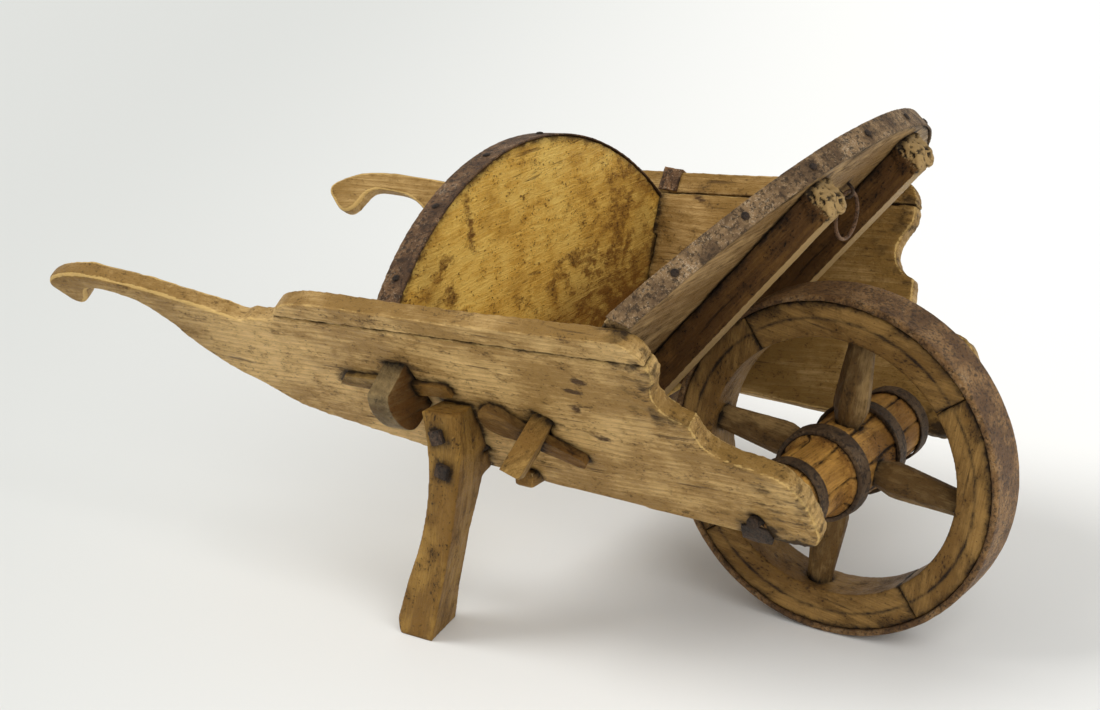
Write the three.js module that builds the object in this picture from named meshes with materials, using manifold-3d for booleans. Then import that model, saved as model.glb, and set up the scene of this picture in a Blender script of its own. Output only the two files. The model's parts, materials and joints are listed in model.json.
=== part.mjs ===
// Wooden wheelbarrow: two splayed side planks whose rear ends are the handles, two arched end boards
// tenoned and keyed through the planks, two legs, and one iron-tyred wheel. Millimetres, +Z up, +X ahead.
import * as THREE from 'three';
import { mergeVertices } from 'three/addons/utils/BufferGeometryUtils.js';
import Module from 'manifold-3d';

const wasm = await Module();
wasm.setup();

const deg = THREE.MathUtils.degToRad;
const gap = 0.3; // clearance between neighbouring pieces

// Driving dimensions. X is counted from the wheel's axis while the pieces are made.
const reach = { front: 250, rear: -1156.6 }; // ends of the tyre and of the longer handle
const wheel = { radius: 250, width: 79, tyre: 9.7, felloeInner: 188.5, felloeWidth: 74, firstJoint: -54 };
const groove = { from: 214.5, to: 217.5, deep: 2 }; // scribed ring on both faces of the rim
const spoke = { width: 36, depth: 32, chamfer: 12, root: 42, end: 206, first: 82, shoulder: 88, swell: 1.45 };
const nave = { waist: 60, body: 52, end: 182, hoop: 69, hoopFrom: 46, hoopTo: 74, tip: 55.5, tipFrom: 148,
  tipTo: 173 };
const pin = { radius: 9, end: 264, root: 130 };
const plank = { splay: deg(33.27), thick: 28, foot: 53.5 }; // foot: half the gap between planks at z = 0
const rear = { tilt: deg(-7.5), x: -504, z: 470, apex: 631.5, radius: 474, thick: 38 };
const front = { tilt: deg(40), x: 46, z: 723, apex: 719.5, radius: 480, thick: 30 };
const band = { thick: 3.5, overhang: 1 };
const floor = { top: 258, bottom: 240.4, rear: -473, joint: -408, front: -337, boardEnd: 222 };
const bearer = { x: -364, width: 30, top: 240, bottom: 216, half: 255 };
const rib = { y: 137, thick: 46, depth: 46, top: 40, end: 262 };
const leg = { outer: 365, foot: 278, calf: 291, knee: 270, top: 348, slant: 0.2 };
const screw = { radius: 4.5, head: 20, thick: 9, heights: [315, 267], xs: [-429, -421] };
const nail = { radius: 2.2, head: 6.5, dome: 3, length: 16 };
const ring = { radius: 33.5, wire: 3, y: 32 };
const staple = { wire: 2.6, leg: 15, span: 9, down: 113 };
const archSteps = 36; // straight pieces in each arched edge
const rearNails = [-42, -26, -9, 8, 24, 40]; // degrees round the arch
const frontNails = [-48, -34, -19, -4, 12, 30];

// Through tenons in the plank's frame: centre, turn, thickness, and the section's lowest and highest edge.
const rearTenon = { x: -509, v: 459, turn: deg(6.3), thick: 38, low: -50, high: 37, out: 92 };
const frontTenon = { x: -301, v: 424, turn: deg(-30), thick: 30, low: -42, high: 26, out: 134, skew: 40, rise: 13 };
const hidden = -6; // how far a tenon reaches back into its board

// Keys in the plank's frame, lying on its outer face.
const key = {
  rear: { x: -509, v: 452, turn: deg(8.3), thick: 9 },
  front: { x: -312, v: 402, turn: deg(-22.5), thick: 13.7 },
};

// The two handles aren't quite alike: each has its own lift up the slope and its own extra reach.
const handle = { right: { lift: 11, reach: -10 }, left: { lift: -12, reach: 12 } };

const wood = (color, roughness = 0.72) => new THREE.MeshStandardMaterial({ color, roughness });
const iron = (color) => new THREE.MeshStandardMaterial({ color, roughness: 0.6, metalness: 0.7 });
const plankWood = wood(0xa5844f);
const boardWood = wood(0xb98d4a);
const slopeWood = wood(0x9c8357);
const darkWood = wood(0x6b4a2a);
const keyWood = wood(0x8d6a3c);
const legWood = wood(0x94703c);
const felloeWood = wood(0x7d5a33);
const naveWood = wood(0x9a7040);
const bandIron = iron(0x5a4a42);
const tyreIron = iron(0x6e5541);
const smallIron = iron(0x3d332d);

// ---- solids -------------------------------------------------------------------------------------------

function solid(geometry, matrix) {
  const plain = geometry.clone();
  plain.deleteAttribute('normal');
  plain.deleteAttribute('uv');
  if (matrix) plain.applyMatrix4(matrix);
  const merged = mergeVertices(plain, 1e-4);
  return new wasm.Manifold(new wasm.Mesh({
    numProp: 3,
    vertProperties: new Float32Array(merged.attributes.position.array),
    triVerts: new Uint32Array(merged.index.array),
  }));
}

function geometryOf(body) {
  const mesh = body.getMesh();
  const geometry = new THREE.BufferGeometry();
  geometry.setAttribute('position', new THREE.BufferAttribute(mesh.vertProperties, 3));
  geometry.setIndex(new THREE.BufferAttribute(mesh.triVerts, 1));
  return geometry;
}

function mirrored(geometry) {
  const twin = geometry.clone();
  twin.scale(1, -1, 1);
  const index = twin.index.array;
  for (let i = 0; i < index.length; i += 3) {
    const first = index[i];
    index[i] = index[i + 1];
    index[i + 1] = first;
  }
  return twin;
}

function extrusion(shape, from, to, matrix, curveSegments = 10) {
  const geometry = new THREE.ExtrudeGeometry(shape, { depth: to - from, bevelEnabled: false, curveSegments });
  geometry.translate(0, 0, from);
  return solid(geometry, matrix);
}

function polygon(points) {
  return new THREE.Shape(points.map(([x, y]) => new THREE.Vector2(x, y)));
}

function boxSolid(low, high, matrix) {
  const size = high.map((value, i) => value - low[i]);
  const geometry = new THREE.BoxGeometry(...size);
  geometry.translate(...high.map((value, i) => (value + low[i]) / 2));
  return solid(geometry, matrix);
}

// A cylinder or frustum along Y.
function rodY(radius, fromY, toY, x, z, sides = 20, endRadius = radius) {
  const geometry = new THREE.CylinderGeometry(endRadius, radius, toY - fromY, sides);
  geometry.translate(0, (fromY + toY) / 2, 0);
  return solid(geometry, new THREE.Matrix4().makeTranslation(x, 0, z));
}

// ---- frames of reference ------------------------------------------------------------------------------

// Right plank: local x runs ahead, y up the slope of the plank, z straight out of its outer face.
const plankFrame = new THREE.Matrix4().makeRotationX(Math.PI / 2 + plank.splay);
plankFrame.setPosition(0, -plank.foot, 0);

// End board: local x runs across, y up the board, z out of its front face. Origin at the apex.
function boardFrame({ tilt, x, z, apex }) {
  const across = new THREE.Vector3(0, 1, 0);
  const up = new THREE.Vector3(Math.sin(tilt), 0, Math.cos(tilt));
  const out = new THREE.Vector3(Math.cos(tilt), 0, -Math.sin(tilt));
  const frame = new THREE.Matrix4().makeBasis(across, up, out);
  return frame.setPosition(x + Math.tan(tilt) * (apex - z), 0, apex);
}
const rearFrame = boardFrame(rear);
const frontFrame = boardFrame(front);

// Half the width between the planks' inner faces at height z.
const halfWidth = (z) => plank.foot + z * Math.tan(plank.splay);

// The space between the planks, as a prism along X.
function trough(clearance) {
  const low = 150;
  const high = 800;
  const outline = polygon([
    [-halfWidth(low) + clearance, low],
    [halfWidth(low) - clearance, low],
    [halfWidth(high) - clearance, high],
    [-halfWidth(high) + clearance, high],
  ]);
  const alongX = new THREE.Matrix4().makeBasis(
    new THREE.Vector3(0, 1, 0), new THREE.Vector3(0, 0, 1), new THREE.Vector3(1, 0, 0));
  return extrusion(outline, -900, 300, alongX);
}

// ---- through tenons and their keys, in the right plank's frame ----------------------------------------

// A frame on the plank: local x across the thickness of what passes through, y up it, z outwards.
function onPlank({ x, v, turn }) {
  return plankFrame.clone()
    .multiply(new THREE.Matrix4().makeTranslation(x, v, 0))
    .multiply(new THREE.Matrix4().makeRotationZ(turn));
}

// Turns a section drawn as outwards against height, so that its extrusion runs through the thickness.
const sectionTurn = new THREE.Matrix4().makeBasis(
  new THREE.Vector3(0, 0, 1), new THREE.Vector3(0, 1, 0), new THREE.Vector3(-1, 0, 0));

// The part of a tenon inside its mortise, larger by grow, which cuts the mortise in the plank.
function mortise(tenon, grow) {
  const half = tenon.thick / 2 + grow;
  const section = polygon([
    [-40, tenon.low - grow], [plank.thick + 30, tenon.low - grow],
    [plank.thick + 30, tenon.high + grow], [-40, tenon.high + grow]]);
  return extrusion(section, -half, half, onPlank(tenon).multiply(sectionTurn));
}

// Tenon with a blunt rounded head.
function rearTenonSolid() {
  const { low, high, out, thick } = rearTenon;
  const section = new THREE.Shape();
  section.moveTo(hidden, low);
  section.lineTo(60, low);
  section.quadraticCurveTo(75, low, 83, low + 12);
  section.quadraticCurveTo(out, low + 28, out, 4);
  section.quadraticCurveTo(out - 1, high - 16, out - 11, high - 5);
  section.lineTo(plank.thick, high);
  section.lineTo(hidden, high);
  return extrusion(section, -thick / 2, thick / 2, onPlank(rearTenon).multiply(sectionTurn), 6);
}

// Straight bar that rises a little outwards, its end cut on the skew with the lower corner held back.
function frontTenonSolid() {
  const { low, high, out, skew, rise, thick } = frontTenon;
  const section = polygon([
    [hidden, low], [plank.thick + 2, low], [out - skew, low + rise], [out, high + rise],
    [plank.thick + 2, high], [hidden, high]]);
  return extrusion(section, -thick / 2, thick / 2, onPlank(frontTenon).multiply(sectionTurn));
}

function keySolid(shape, place, grow) {
  const from = plank.thick + gap;
  return extrusion(shape, from - grow, from + place.thick + grow, onPlank(place), 5);
}

// Flat wedge with a pointed rear end.
function rearKeySolid(grow) {
  const shape = polygon([
    [81, -9 - grow], [81, 13 + grow], [0, 14 + grow], [-103, 14], [-125, -8], [-60, -13 - grow],
    [0, -13 - grow],
  ]);
  return keySolid(shape, key.rear, grow);
}

// Flat wedge with an ear-shaped head at its rear end.
function frontKeySolid(grow) {
  const shape = new THREE.Shape();
  shape.moveTo(-30, -20 - grow);
  shape.quadraticCurveTo(-58, -32, -74, -22);
  shape.quadraticCurveTo(-92, -4, -84, 14);
  shape.quadraticCurveTo(-76, 29, -56, 27);
  shape.quadraticCurveTo(-42, 24, -26, 18 + grow);
  shape.lineTo(72, 11 + grow);
  shape.lineTo(80, 4);
  shape.lineTo(78, -10);
  shape.lineTo(70, -13 - grow);
  return keySolid(shape, key.front, grow);
}

// ---- side planks --------------------------------------------------------------------------------------

// Outline as x ahead against v up the slope: hooked handle, stepped shoulder, scrolled front end.
function plankOutline({ lift, reach: longer }) {
  const shape = new THREE.Shape();
  const h = (x, v) => [x + longer, v + lift];
  shape.moveTo(...h(-1104, 452));
  shape.bezierCurveTo(...h(-1086, 453), ...h(-1078, 468), ...h(-1072, 484));
  shape.bezierCurveTo(...h(-1064, 502), ...h(-1040, 500), ...h(-1020, 501));
  shape.bezierCurveTo(...h(-985, 502), ...h(-952, 492), ...h(-925, 458));
  shape.bezierCurveTo(-895, 415 + lift / 2, -880, 396, -836, 376);
  shape.bezierCurveTo(-790, 358, -775, 336, -735, 324);
  shape.bezierCurveTo(-660, 312, -560, 298, -345, 279);
  shape.lineTo(58, 277);
  shape.quadraticCurveTo(82, 278, 90, 306);
  shape.quadraticCurveTo(95, 352, 84, 386);
  shape.bezierCurveTo(76, 414, 62, 426, 38, 431);
  shape.lineTo(-4, 439);
  shape.quadraticCurveTo(-42, 448, -44, 474);
  shape.lineTo(-49, 500);
  shape.quadraticCurveTo(-85, 507, -89, 540);
  shape.quadraticCurveTo(-90, 559, -79, 575);
  shape.quadraticCurveTo(-70, 602, -84, 630);
  shape.quadraticCurveTo(-96, 650, -118, 650);
  shape.bezierCurveTo(-250, 632, -420, 608, -560, 597);
  shape.quadraticCurveTo(-650, 590, -678, 574);
  shape.quadraticCurveTo(-700, 560, -708, 538);
  shape.quadraticCurveTo(-725, 527, -755, 527);
  shape.lineTo(-776, 515);
  shape.bezierCurveTo(-850, 530, ...h(-930, 532), ...h(-1020, 533));
  shape.bezierCurveTo(...h(-1072, 532), ...h(-1114, 520), ...h(-1138, 500));
  shape.bezierCurveTo(...h(-1150, 490), ...h(-1149, 480), ...h(-1138, 474));
  shape.bezierCurveTo(...h(-1126, 466), ...h(-1120, 452), ...h(-1104, 452));
  return shape;
}

// Everything above the joint between the plank and the rail along its top edge.
function aboveRailJoint(shift) {
  const shape = new THREE.Shape();
  shape.moveTo(-760, 536 + shift);
  shape.bezierCurveTo(-600, 560 + shift, -420, 574 + shift, -60, 616 + shift);
  shape.lineTo(-40, 616 + shift);
  shape.lineTo(-40, 720);
  shape.lineTo(-760, 720);
  return extrusion(shape, -5, plank.thick + 5, plankFrame, 10);
}

// Notch in the bottom edge, where the wheel's pin turns.
function axleNotch() {
  const radius = pin.radius + 0.6;
  const z = wheel.radius;
  return rodY(radius, -320, -150, 0, z).add(boxSolid([-radius, -320, 150], [radius, -150, z]));
}

// Square-headed screw along Y, through the leg and into the plank.
function screwSolid(i, grow) {
  const x = screw.xs[i];
  const z = screw.heights[i];
  const inner = halfWidth(z) + 7;
  const shank = rodY(screw.radius + grow, -leg.outer - 3, -inner + grow, x, z, 12);
  if (grow) return shank;
  const half = screw.head / 2;
  const from = -leg.outer - gap - screw.thick;
  const turn = new THREE.Matrix4().makeTranslation(x, 0, z).multiply(
    new THREE.Matrix4().makeRotationY(deg(i ? 12 : -20)));
  return shank.add(boxSolid([-half, from, -half], [half, -leg.outer - gap, half], turn));
}

function plankBlank(side) {
  return extrusion(plankOutline(handle[side]), 0, plank.thick, plankFrame, 9);
}

function sidePlank(side) {
  const bearerSlot = boxSolid(
    [bearer.x - bearer.width / 2 - gap, -400, 100],
    [bearer.x + bearer.width / 2 + gap, 0, bearer.top + gap]);
  return plankBlank(side)
    .subtract(aboveRailJoint(-gap / 2))
    .subtract(mortise(rearTenon, gap))
    .subtract(mortise(frontTenon, gap))
    .subtract(bearerSlot)
    .subtract(axleNotch())
    .subtract(screwSolid(0, gap))
    .subtract(screwSolid(1, gap));
}

function topRail() {
  return plankBlank('right').intersect(aboveRailJoint(gap / 2));
}

// Iron plate on the outer face, with a hole for the pin.
function axlePlate() {
  const from = plank.thick + gap;
  const shape = polygon([[-32, 272], [-27, 302], [-4, 309], [15, 303], [19, 284], [13, 270], [-10, 267]]);
  return extrusion(shape, from, from + 4, plankFrame)
    .subtract(rodY(pin.radius + 0.6, -320, -150, 0, wheel.radius));
}

// ---- end boards ---------------------------------------------------------------------------------------


function archOutline(radius, bottom, half) {
  const shape = new THREE.Shape();
  const angle = Math.acos(half / radius);
  shape.moveTo(-half, bottom);
  shape.lineTo(half, bottom);
  shape.absarc(0, -radius, radius, angle, Math.PI - angle, false);
  return shape;
}

function boardSolid(board, frame, bottomZ) {
  const half = board.radius * 0.93;
  const outline = archOutline(board.radius, -620, half);
  const below = boxSolid([-900, -500, 0], [300, 500, bottomZ]);
  return extrusion(outline, -board.thick, 0, frame, archSteps).intersect(trough(gap)).subtract(below);
}

function bandSolid(board, frame) {
  const half = board.radius * 0.93;
  const outer = archOutline(board.radius + gap + band.thick, -620, half);
  const top = new THREE.Matrix4().makeTranslation(0, gap + band.thick, 0);
  const strip = extrusion(outer, -board.thick - band.overhang, band.overhang, frame.clone().multiply(top),
    archSteps);
  const inner = new THREE.Matrix4().makeTranslation(0, gap, 0);
  const core = extrusion(archOutline(board.radius + gap, -640, half + 4), -board.thick - 5, 5,
    frame.clone().multiply(inner), archSteps);
  return strip.subtract(core).intersect(trough(gap));
}

// Nails through a band into the edge of its board, evenly spaced round the arch.
function nailFrame(board, frame, angle) {
  return frame.clone()
    .multiply(new THREE.Matrix4().makeTranslation(0, -board.radius, -board.thick / 2))
    .multiply(new THREE.Matrix4().makeRotationZ(-deg(angle)));
}

function nailSolid(board, frame, angle, grow) {
  const seat = board.radius + gap + band.thick + gap;
  const profile = grow
    ? [[0, seat - nail.length - grow], [nail.radius + grow, seat - nail.length - grow],
      [nail.radius + grow, seat + 2], [0, seat + 2]]
    : [[0, seat - nail.length], [nail.radius, seat - nail.length], [nail.radius, seat],
      [nail.head, seat], [nail.head * 0.7, seat + nail.dome * 0.7], [0, seat + nail.dome]];
  const points = profile.map(([r, y]) => new THREE.Vector2(r, y));
  return solid(new THREE.LatheGeometry(points, 8), nailFrame(board, frame, angle));
}

function ribSolid() {
  const { y, thick, depth, top } = rib;
  const shape = polygon([[gap, -top], [gap, -640], [depth, -640], [depth, -top - 12], [depth - 16, -top]]);
  const sideways = new THREE.Matrix4().makeBasis(
    new THREE.Vector3(0, 0, 1), new THREE.Vector3(0, 1, 0), new THREE.Vector3(-1, 0, 0));
  const below = boxSolid([-900, -500, 0], [300, 500, rib.end]);
  return extrusion(shape, y - thick / 2, y + thick / 2, frontFrame.clone().multiply(sideways)).subtract(below);
}

// ---- legs and floor -----------------------------------------------------------------------------------

// What is pared off a leg's upper front arris: a slanting corner that runs out lower down.
function legParing() {
  const corner = polygon([[-411, -leg.outer - 1], [-360, -leg.outer - 1], [-360, -leg.outer + 60]]);
  const outFor = 0.16; // how much less is pared away for each step down
  const lean = new THREE.Matrix4().set(1, 0, -outFor, outFor * leg.top, 0, 1, 0, 0, 0, 0, 1, 0, 0, 0, 0, 1);
  return extrusion(corner, 250, leg.top + 10, lean);
}

// Curved leg; its upper inner side is cut to the slope of the plank it is screwed to, and its front face
// slants back towards the plank.
function legSolid() {
  const front = new THREE.Shape();
  front.moveTo(-448, -1);
  front.bezierCurveTo(-430, 80, -404, 190, -396, 285);
  front.lineTo(-398, leg.top + 10);
  front.lineTo(-300, leg.top + 10);
  front.lineTo(-300, -1);
  const shape = new THREE.Shape();
  shape.moveTo(-503, 0);
  shape.lineTo(-360, 0);
  shape.lineTo(-360, leg.top + 4);
  shape.lineTo(-398, leg.top + 2);
  shape.lineTo(-459, leg.top - 2);
  shape.bezierCurveTo(-444, 285, -438, 205, -486, 88);
  shape.lineTo(-506, 22);
  const upright = new THREE.Matrix4().makeRotationX(Math.PI / 2);
  const slanted = new THREE.Matrix4()
    .set(1, -leg.slant, 0, -leg.slant * leg.outer, 0, 1, 0, 0, 0, 0, 1, 0, 0, 0, 0, 1)
    .multiply(upright);
  const outerAt = (z) => halfWidth(z) + plank.thick / Math.cos(plank.splay) + gap;
  const inside = polygon([
    [-100, -10], [-leg.foot, -10], [-leg.calf, 60], [-leg.calf, 150], [-leg.knee, 226],
    [-outerAt(228), 228], [-outerAt(420), 420], [-100, 420],
  ]);
  const alongX = new THREE.Matrix4().makeBasis(
    new THREE.Vector3(0, 1, 0), new THREE.Vector3(0, 0, 1), new THREE.Vector3(1, 0, 0));
  return extrusion(shape, 180, leg.outer, upright, 9)
    .subtract(extrusion(front, 170, leg.outer + 10, slanted, 9))
    .subtract(extrusion(inside, -600, -300, alongX))
    .subtract(legParing())
    .subtract(screwSolid(0, gap))
    .subtract(screwSolid(1, gap));
}

function floorBoard(from, to) {
  return boxSolid([from, -400, floor.bottom], [to, 400, floor.top]).intersect(trough(gap));
}

// ---- wheel, about its own centre ----------------------------------------------------------------------

// A ring or turned solid about Y.
function turned(profile, segments) {
  return solid(new THREE.LatheGeometry(profile.map(([r, y]) => new THREE.Vector2(r, y)), segments));
}

// Spoke with chamfered arrises, thickest at its shoulder outside the nave.
function spokeSolid(angle, grow) {
  const w = spoke.width / 2 + grow;
  const d = spoke.depth / 2 + grow;
  const c = spoke.chamfer;
  const section = polygon([[-w, -d + c], [-w + c, -d], [w - c, -d], [w, -d + c], [w, d - c], [w - c, d],
    [-w + c, d], [-w, d - c]]);
  const length = spoke.end - spoke.root + 2 * grow;
  const geometry = new THREE.ExtrudeGeometry(section, { depth: length, steps: 12, bevelEnabled: false });
  geometry.translate(0, 0, spoke.root - grow);
  const position = geometry.attributes.position;
  for (let i = 0; i < position.count; i += 1) {
    const along = position.getZ(i);
    const rise = THREE.MathUtils.smoothstep(along, nave.waist - 8, spoke.shoulder);
    const fall = THREE.MathUtils.clamp((wheel.felloeInner - along) / (wheel.felloeInner - spoke.shoulder), 0, 1);
    const scale = 1 + (spoke.swell - 1) * rise * fall;
    position.setX(i, position.getX(i) * scale);
    position.setY(i, position.getY(i) * scale);
  }
  const outward = new THREE.Vector3(Math.cos(angle), 0, Math.sin(angle));
  const side = new THREE.Vector3(-Math.sin(angle), 0, Math.cos(angle));
  const axle = new THREE.Vector3().crossVectors(outward, side);
  return solid(geometry, new THREE.Matrix4().makeBasis(side, axle, outward));
}

function felloeSolid(start) {
  const { felloeInner, felloeWidth, radius, tyre } = wheel;
  const outer = radius - tyre - 2 * gap;
  const slit = 0.4 / outer;
  const shape = new THREE.Shape();
  shape.absarc(0, 0, outer, start + slit, start + Math.PI / 2 - slit, false);
  shape.absarc(0, 0, felloeInner, start + Math.PI / 2 - slit, start + slit, true);
  const upright = new THREE.Matrix4().makeRotationX(Math.PI / 2);
  return extrusion(shape, -felloeWidth / 2, felloeWidth / 2, upright, 20);
}

function grooveRing(side) {
  const face = side * wheel.felloeWidth / 2;
  const low = Math.min(face - side * groove.deep, face + side);
  const high = Math.max(face - side * groove.deep, face + side);
  return turned([
    [groove.from, low], [groove.to, low], [groove.to, high], [groove.from, high], [groove.from, low]], 80);
}

function naveSolid() {
  const { waist, body, end, hoopFrom, hoopTo } = nave;
  const rise = nave.hoop - 5;
  return turned([
    [0, -end], [body - 5, -end], [body - 1, -end + 8], [body, -hoopTo - 12], [body, -hoopTo], [rise - 4, -hoopTo],
    [rise - 1, -hoopFrom], [waist, -hoopFrom + 10], [waist, hoopFrom - 10], [rise - 1, hoopFrom],
    [rise - 4, hoopTo], [body, hoopTo], [body, hoopTo + 12], [body - 1, end - 8], [body - 5, end], [0, end],
  ], 32);
}

function hoopSolid(inner, outer, from, to, segments = 32) {
  return turned([
    [inner[0], from], [outer[0], from], [outer[1], to], [inner[1], to], [inner[0], from]], segments);
}

// ---- assembly -----------------------------------------------------------------------------------------

const model = new THREE.Group();
const body = new THREE.Group();
body.position.x = -(reach.front + reach.rear) / 2;
model.add(body);
const rolling = new THREE.Group();
rolling.position.z = wheel.radius;
body.add(rolling);

function addMesh(name, piece, material, parent = body) {
  const geometry = piece.isBufferGeometry ? piece : geometryOf(piece);
  const mesh = new THREE.Mesh(geometry, material);
  mesh.name = name;
  parent.add(mesh);
  return mesh;
}

// A piece of the right side and its mirror image on the left.
function addPair(name, piece, material) {
  const right = geometryOf(piece);
  addMesh(`${name}_right`, right, material);
  addMesh(`${name}_left`, mirrored(right), material);
}

addMesh('side_plank_right', sidePlank('right'), plankWood);
addMesh('side_plank_left', mirrored(geometryOf(sidePlank('left'))), plankWood);
addPair('top_rail', topRail(), plankWood);
addPair('axle_plate', axlePlate(), smallIron);

const rearKey = rearKeySolid(0);
const frontKey = frontKeySolid(0);
addPair('rear_key', rearKey, keyWood);
addPair('front_key', frontKey, keyWood);

// Both tenons of a board, the left one mirrored from the right one, with slots for the keys.
function withTenons(board, tenon, keySlot) {
  const right = tenon.subtract(keySlot);
  const left = solid(mirrored(geometryOf(right)));
  return board.add(right).add(left);
}

const rearNailSlots = rearNails.map((angle) => nailSolid(rear, rearFrame, angle, gap));
const frontNailSlots = frontNails.map((angle) => nailSolid(front, frontFrame, angle, gap));
const without = (piece, cutters) => cutters.reduce((rest, cutter) => rest.subtract(cutter), piece);

const rearBoard = withTenons(boardSolid(rear, rearFrame, floor.boardEnd), rearTenonSolid(),
  rearKeySolid(gap));
addMesh('rear_board', without(rearBoard, rearNailSlots), boardWood);
const frontBoard = withTenons(boardSolid(front, frontFrame, floor.top + gap), frontTenonSolid(),
  frontKeySolid(gap));
addMesh('front_board', without(frontBoard, frontNailSlots), slopeWood);
addMesh('rear_band', without(bandSolid(rear, rearFrame), rearNailSlots), bandIron);
addMesh('front_band', without(bandSolid(front, frontFrame), frontNailSlots), bandIron);
rearNails.forEach((angle, i) => {
  addMesh(`rear_band_nail_${i + 1}`, nailSolid(rear, rearFrame, angle, 0), smallIron);
});
frontNails.forEach((angle, i) => {
  addMesh(`front_band_nail_${i + 1}`, nailSolid(front, frontFrame, angle, 0), smallIron);
});

addPair('front_rib', ribSolid(), darkWood);
addPair('leg', legSolid(), legWood);
addPair('leg_screw_upper', screwSolid(0, 0), smallIron);
addPair('leg_screw_lower', screwSolid(1, 0), smallIron);

addMesh('floor_board_rear', floorBoard(floor.rear, floor.joint - gap), boardWood);
addMesh('floor_board_front', floorBoard(floor.joint + gap, floor.front), boardWood);
addMesh('floor_bearer', boxSolid(
  [bearer.x - bearer.width / 2, -bearer.half, bearer.bottom],
  [bearer.x + bearer.width / 2, bearer.half, bearer.top]), darkWood);

// Wheel
const spokeAngles = [0, 1, 2, 3].map((i) => deg(spoke.first) + i * Math.PI / 2);
const mortises = spokeAngles.map((angle) => spokeSolid(angle, gap));
const grooves = [grooveRing(1), grooveRing(-1)];
spokeAngles.forEach((angle, i) => addMesh(`spoke_${i + 1}`, spokeSolid(angle, 0), felloeWood, rolling));
for (let i = 0; i < 4; i += 1) {
  const felloe = felloeSolid(deg(wheel.firstJoint) + i * Math.PI / 2);
  addMesh(`felloe_${i + 1}`, without(felloe, [...mortises, ...grooves]), felloeWood, rolling);
}
const tyreInner = wheel.radius - wheel.tyre;
const tyreHalf = wheel.width / 2;
addMesh('tyre', turned([
  [tyreInner, -tyreHalf], [wheel.radius - 2, -tyreHalf], [wheel.radius, -tyreHalf + 3],
  [wheel.radius, tyreHalf - 3], [wheel.radius - 2, tyreHalf], [tyreInner, tyreHalf], [tyreInner, -tyreHalf],
], 96), tyreIron, rolling);

const pinHoles = [-1, 1].map((side) => {
  const ends = side < 0 ? [-nave.end - 5, -pin.root + gap] : [pin.root - gap, nave.end + 5];
  return rodY(pin.radius + gap, ends[0], ends[1], 0, 0);
});
addMesh('nave', without(naveSolid(), [...mortises, ...pinHoles]), naveWood, rolling);

const collar = nave.hoop - 5;
const bigHoop = hoopSolid([collar - 1 + gap, collar - 4 + gap], [nave.hoop, nave.hoop - 2],
  nave.hoopFrom, nave.hoopTo);
const tipHoop = hoopSolid([nave.body + gap, nave.body + gap], [nave.tip, nave.tip], nave.tipFrom, nave.tipTo);
[['nave_hoop', bigHoop], ['nave_tip_hoop', tipHoop]].forEach(([name, hoop]) => {
  const left = geometryOf(hoop);
  addMesh(`${name}_left`, left, bandIron, rolling);
  addMesh(`${name}_right`, mirrored(left), bandIron, rolling);
});
const pinLeft = geometryOf(rodY(pin.radius, pin.root, pin.end, 0, 0));
addMesh('axle_pin_left', pinLeft, smallIron, rolling);
addMesh('axle_pin_right', mirrored(pinLeft), smallIron, rolling);

// Staple under the front board and the ring that hangs in it. The staple is a bent wire in the plane of
// the board's slope, with a flat crown; the ring stands across it.
const stapleFrame = frontFrame.clone().multiply(new THREE.Matrix4().makeTranslation(ring.y, -staple.down, 0));
function staplePath() {
  const { span, leg: legLength } = staple;
  return new THREE.CatmullRomCurve3([
    new THREE.Vector3(0, span, gap), new THREE.Vector3(0, span, legLength * 0.6),
    new THREE.Vector3(0, span * 0.6, legLength), new THREE.Vector3(0, -span * 0.6, legLength),
    new THREE.Vector3(0, -span, legLength * 0.6), new THREE.Vector3(0, -span, gap),
  ], false, 'catmullrom', 0.4);
}
function wireSection(radius, sides) {
  const shape = new THREE.Shape();
  shape.absarc(0, 0, radius, 0, 2 * Math.PI, false);
  return new THREE.Shape(shape.getPoints(sides / 2).slice(0, -1));
}
const stapleGeometry = new THREE.ExtrudeGeometry(wireSection(staple.wire, 8), {
  steps: 16, bevelEnabled: false, extrudePath: staplePath(),
});
addMesh('ring_staple', solid(stapleGeometry, stapleFrame), smallIron);

const crown = new THREE.Vector3(0, 0, staple.leg - staple.wire - ring.wire - 1.2).applyMatrix4(stapleFrame);
const ringGeometry = new THREE.TorusGeometry(ring.radius, ring.wire, 8, 24);
const standing = new THREE.Matrix4().makeTranslation(crown.x, crown.y, crown.z - ring.radius)
  .multiply(new THREE.Matrix4().makeRotationY(Math.PI / 2));
addMesh('hanging_ring', solid(ringGeometry, standing), smallIron);

export default model;
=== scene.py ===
"""Looks of the wooden wheelbarrow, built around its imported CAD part. Metres, +Z up, +X ahead.

Each CAD piece is rebuilt in small even faces, its arrises are worn round, its faces are roughened along
the grain, and it gets a procedural wood or iron material. The wheel's axis is at the joint wheel_spin.
"""
import itertools
import json
import math

import bmesh
import bpy
import numpy as np
from mathutils import Matrix, Vector
from mathutils.bvhtree import BVHTree

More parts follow.
